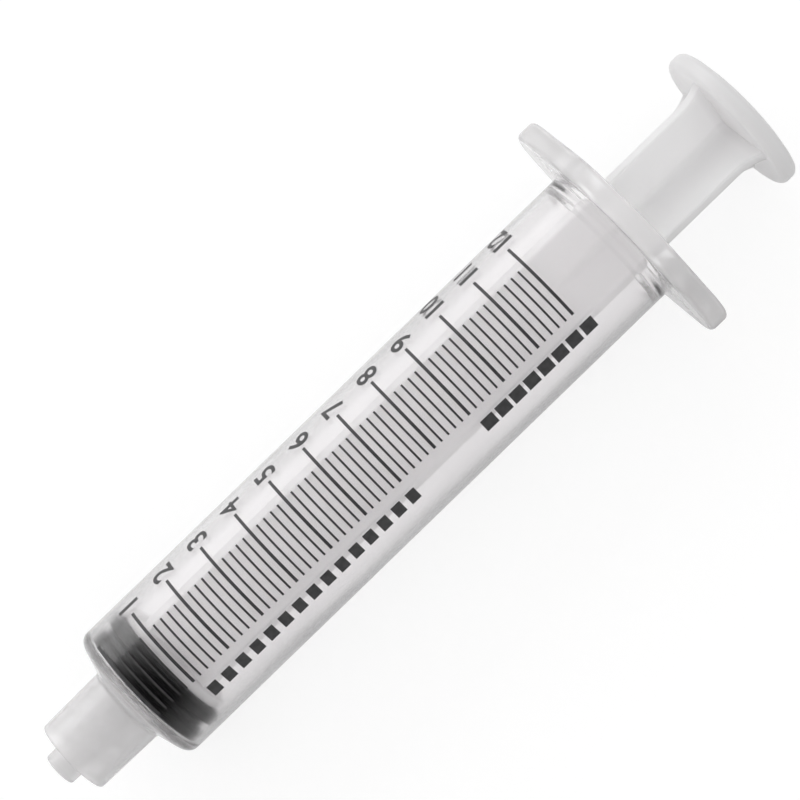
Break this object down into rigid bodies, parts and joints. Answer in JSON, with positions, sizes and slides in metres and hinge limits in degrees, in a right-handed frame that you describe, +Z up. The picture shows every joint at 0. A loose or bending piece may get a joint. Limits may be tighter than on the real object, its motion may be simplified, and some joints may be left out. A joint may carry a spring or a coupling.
{
  "type": "luer lock syringe",
  "caption": "Clear disposable syringe with a threaded luer lock nozzle, finger flange, sliding rubber stopper and ribbed plunger rod, lying on its side.",
  "frame": {"origin": "on the table under the middle of the whole syringe, plunger pushed home", "axes": "+X along the syringe's axis from the nozzle to the thumb rest, +Y along one wing of the finger flange, +Z up; the axis lies 10 mm up, and the flange's lower edge is on Z = 0"},
  "size_m": [0.1036, 0.0308, 0.02],
  "materials": {
    "barrel": "clear polypropylene, polished outside",
    "stopper": "black moulded rubber with a film of silicone oil",
    "plunger_rod": "natural milky polypropylene, satin",
    "scale_ink": "dark grey printing ink on the barrel"
  },
  "bodies": {
    "barrel": {"barrel": "barrel"},
    "stopper": {"stopper": "stopper"},
    "plunger": {"plunger_rod": "plunger_rod"}
  },
  "joints": [
    {"name": "plunger_slide", "type": "slide", "parent": "barrel", "child": "stopper", "axis": [1, 0, 0], "range_m": [0, 0.0647]},
    {"name": "rod_spin", "type": "hinge", "parent": "stopper", "child": "plunger", "pos_m": [-0.037, 0, 0.01], "axis": [1, 0, 0], "continuous": true}
  ]
}
